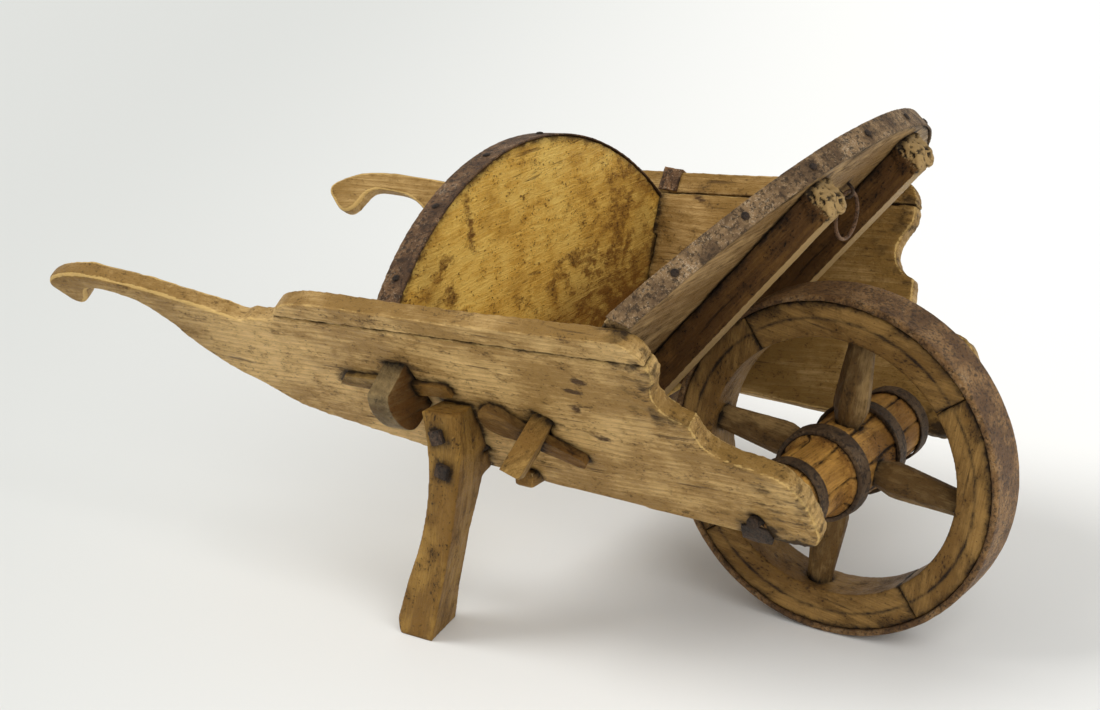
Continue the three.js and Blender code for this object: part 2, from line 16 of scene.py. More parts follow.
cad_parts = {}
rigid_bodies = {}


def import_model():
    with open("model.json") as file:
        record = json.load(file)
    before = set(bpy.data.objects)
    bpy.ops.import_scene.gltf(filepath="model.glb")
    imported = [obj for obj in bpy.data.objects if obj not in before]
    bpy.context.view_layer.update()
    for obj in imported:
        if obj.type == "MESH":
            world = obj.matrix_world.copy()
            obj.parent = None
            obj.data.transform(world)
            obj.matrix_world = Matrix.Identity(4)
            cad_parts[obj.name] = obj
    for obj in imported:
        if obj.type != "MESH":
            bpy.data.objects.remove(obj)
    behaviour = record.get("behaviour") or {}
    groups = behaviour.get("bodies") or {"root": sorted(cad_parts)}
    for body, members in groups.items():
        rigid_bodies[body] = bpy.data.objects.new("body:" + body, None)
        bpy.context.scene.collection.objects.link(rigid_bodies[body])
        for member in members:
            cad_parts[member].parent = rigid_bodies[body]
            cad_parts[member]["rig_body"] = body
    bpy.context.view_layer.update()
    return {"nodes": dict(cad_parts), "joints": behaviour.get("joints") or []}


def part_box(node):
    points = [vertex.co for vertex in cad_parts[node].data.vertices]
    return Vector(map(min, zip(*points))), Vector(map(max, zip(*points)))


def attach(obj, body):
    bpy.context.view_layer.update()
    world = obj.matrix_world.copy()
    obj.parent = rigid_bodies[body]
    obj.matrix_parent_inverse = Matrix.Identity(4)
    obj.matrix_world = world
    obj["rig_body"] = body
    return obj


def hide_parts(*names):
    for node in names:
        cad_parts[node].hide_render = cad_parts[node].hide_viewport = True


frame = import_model()
NODES = frame["nodes"]
AXLE = Vector(next(j["pos_m"] for j in frame["joints"] if j["name"] == "wheel_spin"))
SCENE = bpy.context.scene
COARSE = 1.0  # faces are this much larger while trying things


# ---- noise ----------------------------------------------------------------------------------------------

def hashed(cells, seed):
    """A number from -1 to 1 for each whole-number cell, the same on every run."""
    mixed = (cells[:, 0] * 73856093) ^ (cells[:, 1] * 19349663) ^ (cells[:, 2] * 83492791)
    mixed ^= (seed + 1) * 2654435761
    mixed = ((mixed ^ (mixed >> 13)) * 1274126177) & 0xFFFFFFFF
    mixed ^= mixed >> 16
    return (mixed & 0xFFFFFF) / 0x7FFFFF - 1


def noise(points, size, seed=0, octaves=1):
    """Smooth noise from about -1 to 1. size is its lumps' size in metres, one number or one for each axis."""
    total = np.zeros(len(points))
    strength = 0.0
    for octave in range(octaves):
        scaled = points / np.array(size) * 2 ** octave + 17.3 * octave
        low = np.floor(scaled).astype(np.int64)
        part = scaled - low
        part = part * part * (3 - 2 * part)
        weight = 0.5 ** octave
        for corner in itertools.product((0, 1), repeat=3):
            share = np.prod(np.where(corner, part, 1 - part), axis=1)
            total += weight * share * hashed(low + corner, seed + 31 * octave)
        strength += weight
    return total / strength


def smoothstep(low, high, values):
    part = np.clip((values - low) / (high - low), 0, 1)
    return part * part * (3 - 2 * part)


# ---- meshes ---------------------------------------------------------------------------------------------

def coordinates(mesh):
    flat = np.empty(len(mesh.vertices) * 3, np.float32)
    mesh.vertices.foreach_get("co", flat)
    return flat.reshape(-1, 3).astype(float)


def normals_of(mesh):
    flat = np.empty(len(mesh.vertices) * 3, np.float32)
    mesh.vertex_normals.foreach_get("vector", flat)
    return flat.reshape(-1, 3).astype(float)


def place(mesh, points):
    mesh.vertices.foreach_set("co", points.astype(np.float32).ravel())
    mesh.update()


def rebuilt(mesh, voxel):
    """The same closed shape in small even faces."""
    source = bpy.data.objects.new("source", mesh)
    SCENE.collection.objects.link(source)
    remesh = source.modifiers.new("remesh", "REMESH")
    remesh.mode = "VOXEL"
    remesh.voxel_size = voxel * COARSE
    shown = source.evaluated_get(bpy.context.evaluated_depsgraph_get())
    fine = bpy.data.meshes.new_from_object(shown)
    bpy.data.objects.remove(source)
    return fine


def half_of(mesh, point, normal):
    """The part of a closed mesh behind the plane through point, closed again at the cut."""
    work = bmesh.new()
    work.from_mesh(mesh)
    bmesh.ops.remove_doubles(work, verts=work.verts[:], dist=1e-5)
    everything = work.verts[:] + work.edges[:] + work.faces[:]
    bmesh.ops.bisect_plane(work, geom=everything, plane_co=point, plane_no=normal, clear_outer=True)
    bmesh.ops.holes_fill(work, edges=[edge for edge in work.edges if edge.is_boundary])
    kept = bpy.data.meshes.new("half")
    work.to_mesh(kept)
    work.free()
    return kept


def softened(mesh, points, rounds, strength=0.5):
    """points after rounds of moving each one towards its neighbours' mean, which wears arrises round."""
    edges = np.empty(len(mesh.edges) * 2, np.int32)
    mesh.edges.foreach_get("vertices", edges)
    first, second = edges.reshape(-1, 2).T
    count = np.bincount(edges, minlength=len(points))
    strength = np.broadcast_to(strength, (len(points),))
    for _ in range(rounds):
        for axis in range(3):
            value = points[:, axis]
            total = np.bincount(first, value[second], len(points))
            total += np.bincount(second, value[first], len(points))
            points[:, axis] = value + strength * (total / count - value)
    return points


CONTACT_SHADE_REACH = 0.016  # how far the painted contact shade spreads round another piece
SEAM_REACH = 0.005  # and round a piece of the same family, with which it makes one surface


def closeness(points, own, family):
    """From 0 to 1, how near each point is to CAD nodes other than its own."""
    result = np.zeros(len(points))
    for name, node in NODES.items():
        if name == own:
            continue
        reach = SEAM_REACH if name.startswith(family) else CONTACT_SHADE_REACH
        box_low, box_high = (np.array(corner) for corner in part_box(name))
        inside = ((points > box_low - reach) & (points < box_high + reach)).all(1)
        if not inside.any():
            continue
        tree = BVHTree.FromPolygons(
            [v.co for v in node.data.vertices], [p.vertices for p in node.data.polygons])
        for i in np.flatnonzero(inside):
            distance = tree.find_nearest(points[i], reach)[3]
            if distance is not None:
                result[i] = max(result[i], (1 - distance / reach) ** 2)
    return result


def add_attribute(mesh, name, values):
    kind = "FLOAT_VECTOR" if values.ndim == 2 else "FLOAT"
    layer = mesh.attributes.new(name, kind, "POINT")
    layer.data.foreach_set("vector" if values.ndim == 2 else "value", values.astype(np.float32).ravel())


# ---- materials ------------------------------------------------------------------------------------------

class Graph:
    """Builds one material's nodes. Methods take and give node sockets."""

    def __init__(self, name, roughness=0.6, metallic=0.0, specular=0.5):
        self.material = bpy.data.materials.new(name)
        self.material.use_nodes = True
        self.nodes = self.material.node_tree.nodes
        self.links = self.material.node_tree.links
        self.shader = self.nodes["Principled BSDF"]
        self.shader.inputs["Roughness"].default_value = roughness
        self.shader.inputs["Metallic"].default_value = metallic
        self.shader.inputs["Specular IOR Level"].default_value = specular

    def put(self, kind, inputs, **settings):
        made = self.nodes.new(kind)
        for key, value in settings.items():
            setattr(made, key, value)
        for key, value in inputs.items():
            if isinstance(value, bpy.types.NodeSocket):
                self.links.new(value, made.inputs[key])
            else:
                made.inputs[key].default_value = value
        return made

    def attribute(self, name, output="Fac"):
        return self.put("ShaderNodeAttribute", {}, attribute_name=name).outputs[output]

    def maths(self, operation, first, second=0.0, clamp=False):
        made = self.put("ShaderNodeMath", {0: first, 1: second}, operation=operation, use_clamp=clamp)
        return made.outputs[0]

    def weighted(self, *terms, plus=0.0):
        """plus and the sum of the terms, each a socket and its weight."""
        total = plus
        for value, weight in terms:
            total = self.maths("ADD", total, self.maths("MULTIPLY", value, weight))
        return total

    def vector(self, operation, first, second=(0, 0, 0), output=0):
        return self.put("ShaderNodeVectorMath", {0: first, 1: second}, operation=operation).outputs[output]

    def cloud(self, at, stretch, detail=3.0, rough=0.55, colour=False):
        """Noise whose lumps are 1/stretch metres in each direction."""
        scaled = self.vector("MULTIPLY", at, stretch)
        made = self.put("ShaderNodeTexNoise", {
            "Vector": scaled, "Scale": 1.0, "Detail": detail, "Roughness": rough})
        return made.outputs["Color" if colour else "Fac"]

    def steep(self, value, low, high):
        """0 below low, 1 above high, and smooth between."""
        made = self.put("ShaderNodeMapRange", {"Value": value, "From Min": low, "From Max": high},
                        interpolation_type="SMOOTHSTEP")
        return made.outputs["Result"]

    def mix(self, share, first, second, blend="MIX"):
        made = self.put("ShaderNodeMix", {0: share, 6: first, 7: second}, data_type="RGBA", blend_type=blend)
        return made.outputs[2]

    def bump(self, height, depth):
        made = self.put("ShaderNodeBump", {"Height": height, "Distance": depth, "Strength": 1.0})
        return made.outputs["Normal"]

    def finish(self, colour, roughness=None, normal=None):
        for name, socket in (("Base Color", colour), ("Roughness", roughness), ("Normal", normal)):
            if socket is not None:
                self.links.new(socket, self.shader.inputs[name])
        return self.material


def rgb(red, green, blue):
    return (red, green, blue, 1.0)


def darker(colour, share):
    return rgb(*[share * part for part in colour])


RING_SPACING = 0.011  # between a tree's yearly rings


def wood(name, pale, mid, dark, edge, handled_and_shade, rings=0.25, cast=0.4, mottle=0.5, specks=0.5, gloss=0.5):
    """Old oiled wood. x of the attribute grain runs along the grain, and the rings lie about its x axis.

    pale and mid are the clean wood, dark its stains, dirt and painted shade, edge its arrises, pale partly as
    bare wood and partly as a painted highlight, and handled its rubbed places and painted shade.
    rings, cast, mottle and specks are the strengths of the rings, rubbed patches, stains and dark crumbs.
    """
    g = Graph(name, specular=0.22)
    grain = g.attribute("grain", "Vector")
    sway = g.vector("SUBTRACT", g.cloud(grain, (3, 9, 9), 2.0, colour=True), (0.5, 0.5, 0.5))
    bent = g.vector("ADD", grain, g.vector("MULTIPLY", sway, (0.0, 0.03, 0.03)))
    fibre = g.cloud(bent, (12, 420, 420), 4.0, 0.66)
    broad = g.cloud(grain, (6, 11, 11), 9.0, 0.66)
    patches = g.cloud(bent, (26, 42, 42), 9.0, 0.72)
    cracks = g.cloud(bent, (7, 95, 95), 5.0, 0.6)
    grit = g.cloud(grain, (190, 300, 300), 4.0, 0.7)

    from_pith = g.vector("LENGTH", g.vector("MULTIPLY", bent, (0.03, 1, 1)), output="Value")
    ring = g.maths("FRACT", g.maths("DIVIDE", from_pith, RING_SPACING))
    late_wood = g.maths("SUBTRACT", g.steep(ring, 0.2, 0.9), g.steep(ring, 0.93, 1.0))
    tone = g.weighted((late_wood, rings), (g.steep(broad, 0.38, 0.62), 0.75),
                      (g.steep(fibre, 0.42, 0.60), 0.30), (g.steep(patches, 0.44, 0.60), 0.25))
    tone = g.maths("MINIMUM", tone, 1.0)
    colour = g.mix(tone, rgb(*pale), rgb(*mid))

    # handled brings rubbed places and also painted shade, on the rear board and on the keys towards the
    # wheel.
    rubbed_and_shade = g.weighted((g.attribute("handled_and_shade"), 1.0), (g.steep(broad, 0.50, 0.62), cast))
    rubbed_and_shade = g.maths("MULTIPLY", g.maths("MINIMUM", rubbed_and_shade, 1.0), g.weighted((tone, 0.45), plus=0.55))
    colour = g.mix(rubbed_and_shade, colour, rgb(*handled_and_shade))

    # stain brings knots and stains, and on the rear board also a large painted shade spot at its low corner.
    spot = g.attribute("stain_and_shade")
    stained_and_shaded = g.steep(g.weighted((spot, 0.19), (patches, 1.0)), 0.55, 0.69)
    stained_and_shaded = g.maths("MULTIPLY", stained_and_shaded, g.weighted((spot, 0.6), plus=mottle), clamp=True)
    colour = g.mix(stained_and_shaded, colour, rgb(*dark))
    line = g.maths("MULTIPLY", g.steep(cracks, 0.63, 0.70), 0.7)
    colour = g.mix(line, colour, rgb(*dark))
    crumbs = g.steep(g.weighted((grit, 1.0), (patches, 0.6)), 0.88, 0.98)
    colour = g.mix(g.maths("MULTIPLY", crumbs, specks), colour, darker(dark, 0.5))

    # Paler arrises and worn places: partly bare wood, partly a painted highlight along the edges.
    bare_and_highlight = g.steep(g.weighted((g.attribute("worn"), 1.0), (g.maths("SUBTRACT", grit, 0.5), 1.6)), 0.45, 0.8)
    colour = g.mix(g.maths("MULTIPLY", bare_and_highlight, 0.75), colour, rgb(*edge))
    # Darkening from the dirt attribute: painted contact shade near other pieces and in the axle notch, and
    # real dirt in pits, cracks, worm holes and the scribed ring.
    grime_and_shade = g.weighted((g.steep(patches, 0.4, 0.6), 1.0), plus=0.5)
    grime_and_shade = g.maths("MULTIPLY", g.attribute("dirt_and_shade"), grime_and_shade, clamp=True)
    colour = g.mix(g.maths("MULTIPLY", grime_and_shade, 0.92), colour, darker(dark, 0.25))

    height = g.weighted((fibre, 0.5), (grit, 0.6), (patches, 1.6), (line, -0.5))
    shine = g.weighted((g.maths("SUBTRACT", patches, 0.5), 0.9), plus=0.66 - 0.24 * gloss)
    return g.finish(colour, shine, g.bump(height, 0.0042))


def iron(name, base, rust, pale, grain_size=0.004, rough=0.62, speckle=0.5):
    """Rusted wrought iron, in patches of rust over dark scale, with pale worn specks."""
    g = Graph(name, metallic=0.35, specular=0.4)
    at = g.attribute("grain", "Vector")
    fine = 1 / grain_size
    patches = g.cloud(at, (22, 22, 22), 6.0, 0.7)
    grit = g.cloud(at, (fine, fine, fine), 5.0, 0.75)
    pits = g.cloud(at, (fine * 0.4,) * 3, 4.0, 0.65)
    colour = g.mix(g.steep(patches, 0.4, 0.6), rgb(*base), rgb(*rust))
    colour = g.mix(g.maths("MULTIPLY", g.steep(pits, 0.48, 0.60), 0.85), colour, darker(base, 0.3))
    bright = g.weighted((g.attribute("worn"), 0.35), (g.maths("SUBTRACT", grit, 0.51), 1.8),
                        (g.maths("SUBTRACT", patches, 0.5), 1.0))
    colour = g.mix(g.maths("MULTIPLY", g.steep(bright, 0.06, 0.36), speckle), colour, rgb(*pale))
    # Darkening from the dirt attribute here is painted contact shade near other pieces.
    colour = g.mix(g.maths("MULTIPLY", g.attribute("dirt_and_shade"), 0.5), colour, darker(base, 0.2))
    shine = g.weighted((g.maths("SUBTRACT", grit, 0.5), 0.8), plus=rough)
    return g.finish(colour, shine, g.bump(g.weighted((grit, 0.7), (pits, 1.0)), 0.0045))


PLANK = wood("plank_wood", pale=(0.86, 0.575, 0.235), mid=(0.41, 0.240, 0.074), dark=(0.095, 0.047, 0.014),
             edge=(0.74, 0.49, 0.17), handled_and_shade=(0.28, 0.155, 0.036), cast=0.25, mottle=0.55, specks=0.7)
# Its handled colour is painted shade on the rear board, besides random rubbed patches.
BOARD = wood("board_wood", pale=(1.0, 0.70, 0.175), mid=(0.76, 0.430, 0.066), dark=(0.20, 0.085, 0.010),
             edge=(0.80, 0.50, 0.13), handled_and_shade=(0.23, 0.100, 0.011), rings=0.1, cast=0.3, mottle=0.5,
             specks=0.9)
SLOPE = wood("slope_wood", pale=(0.62, 0.40, 0.17), mid=(0.22, 0.125, 0.042), dark=(0.05, 0.027, 0.010),
             edge=(0.80, 0.56, 0.26), handled_and_shade=(0.34, 0.19, 0.06), mottle=0.6)
DARK = wood("dark_wood", pale=(0.22, 0.105, 0.024), mid=(0.080, 0.036, 0.009), dark=(0.014, 0.006, 0.002),
            edge=(0.56, 0.37, 0.15), handled_and_shade=(0.13, 0.056, 0.012), rings=0.2, specks=1.0)
# Its handled colour is painted shade on the front keys towards the wheel, besides random rubbed patches.
KEY = wood("key_wood", pale=(0.37, 0.200, 0.050), mid=(0.17, 0.086, 0.020), dark=(0.03, 0.014, 0.004),
           edge=(0.62, 0.42, 0.18), handled_and_shade=(0.15, 0.066, 0.011))
TENON = wood("tenon_wood", pale=(0.30, 0.205, 0.085), mid=(0.13, 0.086, 0.034), dark=(0.045, 0.027, 0.010),
             edge=(0.60, 0.47, 0.27), handled_and_shade=(0.115, 0.046, 0.006))
# Its handled colour is painted shade on the rear keys towards the wheel, besides random rubbed patches.
BAR = wood("bar_wood", pale=(0.46, 0.280, 0.080), mid=(0.21, 0.115, 0.026), dark=(0.05, 0.026, 0.008),
           edge=(0.66, 0.47, 0.21), handled_and_shade=(0.30, 0.150, 0.030))
LEG = wood("leg_wood", pale=(0.40, 0.225, 0.048), mid=(0.19, 0.096, 0.018), dark=(0.05, 0.025, 0.007),
           edge=(0.42, 0.26, 0.07), handled_and_shade=(0.26, 0.128, 0.020), specks=0.9)
FELLOE = wood("felloe_wood", pale=(0.40, 0.225, 0.062), mid=(0.19, 0.100, 0.024),
              dark=(0.040, 0.018, 0.005), edge=(0.50, 0.31, 0.10), handled_and_shade=(0.20, 0.095, 0.017), rings=0.15,
              specks=0.8, gloss=0.7)
SPOKE = wood("spoke_wood", pale=(0.36, 0.225, 0.085), mid=(0.12, 0.066, 0.020), dark=(0.022, 0.012, 0.004),
             edge=(0.58, 0.41, 0.19), handled_and_shade=(0.15, 0.072, 0.014))
NAVE = wood("nave_wood", pale=(0.60, 0.310, 0.066), mid=(0.24, 0.108, 0.020), dark=(0.04, 0.017, 0.004),
            edge=(0.50, 0.29, 0.08), handled_and_shade=(0.27, 0.120, 0.020), specks=0.9)
FRONT_BAND = iron("front_band_iron", base=(0.160, 0.092, 0.042), rust=(0.42, 0.260, 0.118),
                  pale=(0.84, 0.66, 0.45), grain_size=0.0024, speckle=0.85)
REAR_BAND = iron("rear_band_iron", base=(0.120, 0.060, 0.026), rust=(0.28, 0.145, 0.058),
                 pale=(0.80, 0.62, 0.42), grain_size=0.0026, speckle=0.75)
TYRE = iron("tyre_iron", base=(0.175, 0.086, 0.030), rust=(0.37, 0.198, 0.068), pale=(0.62, 0.44, 0.25),
            grain_size=0.002, rough=0.5, speckle=0.6)
SMALL = iron("small_iron", base=(0.035, 0.022, 0.014), rust=(0.09, 0.050, 0.027), pale=(0.38, 0.30, 0.21),
             grain_size=0.002)
RING = iron("ring_iron", base=(0.140, 0.072, 0.036), rust=(0.24, 0.130, 0.066), pale=(0.52, 0.36, 0.22),
            grain_size=0.002, speckle=0.5)
HOOP = iron("hoop_iron", base=(0.090, 0.052, 0.025), rust=(0.16, 0.095, 0.045), pale=(0.40, 0.28, 0.16),
            grain_size=0.003, speckle=0.5)


# ---- grain frames ---------------------------------------------------------------------------------------

def axes(origin, along, up):
    """The matrix from the row frame to a piece's grain: x along it, z nearest to up, origin at the pith."""
    x = Vector(along).normalized()
    y = Vector(up).cross(x).normalized()
    z = x.cross(y)
    turn = Matrix((x, y, z)).to_4x4()
    return turn @ Matrix.Translation(-Vector(origin))


def middle(name):
    low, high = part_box(name)
    return (low + high) / 2


def mapped(matrix, points):
    m = np.array(matrix)
    return points @ m[:3, :3].T + m[:3, 3]


# ---- worn pieces ----------------------------------------------------------------------------------------

def spots(at, places):
    """How strongly soft oval spots cover each point. A place is x, z, half length, half height, strength."""
    cover = np.zeros(len(at))
    for x, z, length, height, strength in places:
        cover += strength * np.exp(-((at[:, 0] - x) / length) ** 2 - ((at[:, 2] - z) / height) ** 2)
    return cover


def worn_piece(name, material, grain, voxel, rounds, wave=0.001, dent=0.0004, nibble=0.0012,
               blank=None, label=None, family=None, strength=None, shape=None, handled_and_shade=None, bare_and_highlight=None,
               grime_and_shade=None, lean=0.0, stains_and_shade=()):
    """A worn stand-in for one CAD node, or for the part blank of it.

    It is rebuilt in faces of size voxel, and its arrises are rounded in so many rounds. strength gives how
    fast from its points. family is the start of the names with which it makes one surface.
    wave, dent and nibble are the depths of its long waves, short dents and nicked arrises, in metres.
    grain is the matrix to its grain, which climbs lean metres in each metre along it.
    handled, bare and grime give each point's rubbed brown, bare wood and dirt from its grain place, its
    row-frame place and its normal; handled and grime also bring painted shade, and bare a painted highlight.
    Painted contact shade near other pieces is added to the dirt. shape gives how far it stands out from its
    face, from the same and its wear.
    """
    mesh = rebuilt(blank or NODES[name].data, voxel)
    before = coordinates(mesh)
    amount = 0.5 if strength is None else strength(before)
    after = softened(mesh, before.copy(), max(1, round(rounds / COARSE ** 2)), amount)
    place(mesh, after)
    normals = normals_of(mesh)
    drawn_in = ((before - after) * normals).sum(1)
    worn = smoothstep(0.0002, 0.0011, drawn_in)
    at = mapped(grain, after)
    seed = sum(map(ord, name))
    height = wave * noise(at, (0.22, 0.09, 0.09), seed, 2)
    height += dent * noise(at, (0.05, 0.018, 0.018), seed + 5, 2)
    height += nibble * worn * (noise(at, (0.035, 0.02, 0.02), seed + 9, 2) - 0.25)
    if shape is not None:
        height += shape(at, after, normals, worn)
    place(mesh, after + normals * height[:, None])

    # Painted contact shade near other pieces, then grime: real dirt, and painted shade in the axle notch.
    dirt_and_shade = closeness(after, name, family or name)
    if grime_and_shade is not None:
        dirt_and_shade = np.clip(dirt_and_shade + grime_and_shade(at, after, normals), 0, 1)
    # bare adds pale places to worn: on the ribs, their bare top ends and their front faces, which are partly
    # a painted highlight.
    if bare_and_highlight is not None:
        worn = np.maximum(worn, bare_and_highlight(at, after, normals))
    polish_and_shade = np.zeros(len(at)) if handled_and_shade is None else handled_and_shade(at, after, normals)
    sloped = at.copy()
    sloped[:, 2] -= lean * at[:, 0]
    layers = {"grain": sloped, "worn": worn, "stain_and_shade": spots(at, stains_and_shade), "handled_and_shade": polish_and_shade, "dirt_and_shade": dirt_and_shade}
    for layer, values in layers.items():
        add_attribute(mesh, layer, values)
    mesh.shade_smooth()
    mesh.materials.clear()
    mesh.materials.append(material)
    piece = bpy.data.objects.new(f"{label or name}_worn", mesh)
    SCENE.collection.objects.link(piece)
    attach(piece, NODES[name]["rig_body"])
    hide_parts(name)


SIDES = (("right", -1), ("left", 1))
CROSSWAYS = (0, 1, 0)
UP = (0, 0, 1)
UP_THE_FRONT = Vector((0.643, 0, 0.766))  # up the slope of the front board, which leans 40 degrees ahead
SLOPE_OUT = Vector((0.766, 0, -0.643))  # out of its lower face


# Side planks and what is fixed to them

def plank_face(side, sign):
    """A side plank's outward direction, and the foot of its inner face below the axle at z = 0."""
    faces = NODES[f"side_plank_{side}"].data
    outward = max(faces.polygons, key=lambda face: face.area).normal.copy()
    outward *= math.copysign(1, outward.y * sign)
    inner = min(v.co.dot(outward) for v in faces.vertices)
    return outward, Vector((AXLE.x, inner / outward.y, 0))


def plank_frame(side, sign):
    """x ahead of the axle, z up the slope of the plank from the ground."""
    outward, foot = plank_face(side, sign)
    up_slope = outward.cross(Vector((1, 0, 0)))
    return axes(foot, (1, 0, 0), up_slope * math.copysign(1, up_slope.z))


# Knots, and painted shade in the axle notch: ahead of the axle, up the slope, half length, half height,
# strength.
KNOTS = [(-0.200, 0.550, 0.012, 0.008, 1.6), (-0.215, 0.525, 0.016, 0.006, 1.5),
         (-0.225, 0.485, 0.011, 0.008, 1.3), (-0.200, 0.430, 0.018, 0.007, 1.2),
         (-0.525, 0.525, 0.010, 0.006, 1.3), (-0.435, 0.565, 0.012, 0.005, 1.0),
         (-0.010, 0.465, 0.026, 0.008, 0.6)]
AXLE_SLOT = [(0.003, 0.296, 0.022, 0.016, 1.4), (0.050, 0.280, 0.050, 0.009, 1.3)]


def handles_rounder(points):
    """How strongly each of a plank's points is worn: most at the handle."""
    return 0.2 + 0.3 * smoothstep(-0.30, -0.40, points[:, 0])


def hand_polish(at, points, normals):
    """Where a plank is rubbed brown: its handle and upper edge most, then its inner face and its nose."""
    grip = smoothstep(-0.30, -0.48, points[:, 0])
    top_edge = smoothstep(0.35, 0.75, normals[:, 2])
    inner_face = smoothstep(0.4, 0.8, -normals[:, 1] * np.sign(points[:, 1]))
    nose = smoothstep(-0.40, 0.08, at[:, 0])
    return np.clip(0.7 * grip + 0.75 * top_edge + 0.55 * inner_face + 0.40 * nose, 0, 1)


def end_grain(at):
    """From 0 to 1, how near each point is to a plank's nose or to the scroll at its front top end."""
    nose = smoothstep(-0.02, 0.05, at[:, 0])
    scroll = smoothstep(-0.16, -0.09, at[:, 0]) * smoothstep(0.47, 0.52, at[:, 2])
    return np.maximum(nose, scroll)


def rough_ends(at, points, normals, worn):
    """Torn and pitted wood on a plank's nose and along the front of its upper arris."""
    arris = worn * smoothstep(-0.55, -0.25, at[:, 0])
    pits = noise(at, 0.009, 41, 3)
    notches = np.minimum(noise(at, (0.022, 0.03, 0.012), 43, 2), 0)
    return 0.0015 * end_grain(at) * pits + 0.0050 * arris * notches


def plank_dirt_and_shade(at, points, normals):
    """Painted shade in the axle notch, and dirt in the pits of the end grain."""
    pits = smoothstep(-0.05, 0.45, noise(at, (0.016, 0.016, 0.010), 67, 4))
    return spots(at, AXLE_SLOT) + 0.62 * end_grain(at) * pits


def near_top(at, start, full):
    """How near each point is to a rib's top end: 0 from start metres away, and 1 from full metres."""
    return smoothstep(start, full, at[:, 0].max() - at[:, 0])


def worm_holes(at, points, normals):
    return near_top(at, 0.045, 0.012) * smoothstep(0.10, 0.28, noise(at, 0.0050, 53, 2))


def bare_front_and_highlight(at, points, normals):
    """A pale rib front face, partly worn wood and partly a painted highlight, and pale bare wood at its top
    end.
    """
    front = smoothstep(0.6, 0.85, normals @ np.array(SLOPE_OUT))
    return np.maximum(front, 0.9 * near_top(at, 0.030, 0.004))


def eaten_end(at, points, normals, worn):
    lumps = 0.002 + 0.0055 * noise(at, 0.014, 47, 3)
    return near_top(at, 0.045, 0.012) * lumps - 0.0030 * worm_holes(at, points, normals)


def key_painted_shade(at, points, normals):
    """Keys are browner towards the wheel: painted shade."""
    return smoothstep(-0.01, 0.05, at[:, 0])


for side, sign in SIDES:
    slope = plank_frame(side, sign)
    worn_piece(f"side_plank_{side}", PLANK, slope, voxel=0.0029, rounds=14, nibble=0.002,
               family=f"top_rail_{side}", strength=handles_rounder, shape=rough_ends, handled_and_shade=hand_polish,
               grime_and_shade=plank_dirt_and_shade, lean=0.09, stains_and_shade=KNOTS)
    worn_piece(f"top_rail_{side}", PLANK, slope, voxel=0.0022, rounds=6, nibble=0.0025,
               family=f"side_plank_{side}", shape=rough_ends, handled_and_shade=hand_polish, grime_and_shade=plank_dirt_and_shade,
               lean=0.09, stains_and_shade=KNOTS)
    rib = f"front_rib_{side}"
    worn_piece(rib, DARK, axes(middle(rib), UP_THE_FRONT, UP), voxel=0.0020, rounds=4,
               shape=eaten_end, bare_and_highlight=bare_front_and_highlight, grime_and_shade=worm_holes)
    leg = f"leg_{side}"
    worn_piece(leg, LEG, axes(middle(leg), (0.15, 0, 1), (1, 0, 0)), voxel=0.0022, rounds=3)
    for key, wood_of_key, along in (("rear_key", BAR, (1, 0, 0.16)), ("front_key", KEY, (1, 0, -0.35))):
        name = f"{key}_{side}"
        worn_piece(name, wood_of_key, axes(middle(name), along, UP), voxel=0.0012, rounds=2,
                   wave=0.0005, handled_and_shade=key_painted_shade)
    plate = f"axle_plate_{side}"
    worn_piece(plate, SMALL, axes(middle(plate), (1, 0, 0), UP), voxel=0.0014, rounds=3)
    for level in ("upper", "lower"):
        screw = f"leg_screw_{level}_{side}"
        worn_piece(screw, SMALL, axes(middle(screw), CROSSWAYS, UP), voxel=0.0011, rounds=3,
                   wave=0.0003, dent=0.0003, nibble=0.0005)


# End boards, their tenons and iron bands

# Painted shade on the rear board, darkest low towards the left plank, low in the middle and in strips near
# its two ends; then its stains, whose first and largest place is more painted shade at that low corner:
# across, up from the ground, half width, half height, strength.
REAR_PAINTED_SHADE = [(0.215, 0.310, 0.150, 0.110, 1.3), (0.060, 0.345, 0.110, 0.050, 0.7),
              (0.300, 0.470, 0.035, 0.120, 0.5), (-0.270, 0.470, 0.035, 0.110, 0.5)]
# The first place below is painted shade at the low corner, the rest are stains.
REAR_STAINS_AND_SHADE = [(0.200, 0.320, 0.160, 0.090, 0.85), (-0.230, 0.480, 0.040, 0.090, 0.5),
               (0.230, 0.500, 0.080, 0.060, 0.5), (-0.160, 0.540, 0.010, 0.050, 0.9),
               (0.120, 0.420, 0.180, 0.020, 0.5)]
PLANK_THICKNESS = 0.028


# Painted shade on the rear board, low towards the left plank and near its ends, put in as its handled brown.
def rear_painted_shade(at, points, normals):
    across = np.stack((points[:, 1], points[:, 0], points[:, 2]), 1)
    return np.clip(spots(across, REAR_PAINTED_SHADE), 0, 1)


def brown_side(at, points, normals):
    """The sides of the rear board's tenons that face the wheel."""
    return smoothstep(0.4, 0.7, normals[:, 0])


def end_board(name, material, tenon_material, stains_and_shade=(), handled_and_shade=None, tenon_handled=None):
    """The board between the planks, and its two tenons as finer pieces beyond them."""
    low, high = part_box(name)
    grain = axes(((low.x + high.x) / 2, 0, 0), CROSSWAYS, UP)
    inside = NODES[name].data
    for side, sign in SIDES:
        outward, foot = plank_face(side, sign)
        seam = foot + outward * PLANK_THICKNESS * 0.5
        inside = half_of(inside, seam, outward)
        tenon = half_of(NODES[name].data, seam, -outward)
        worn_piece(name, tenon_material, grain, voxel=0.0014, rounds=2, wave=0.0006, blank=tenon,
                   label=f"{name}_tenon_{side}", handled_and_shade=tenon_handled)
    worn_piece(name, material, grain, voxel=0.003, rounds=4, blank=inside, handled_and_shade=handled_and_shade,
               stains_and_shade=stains_and_shade)


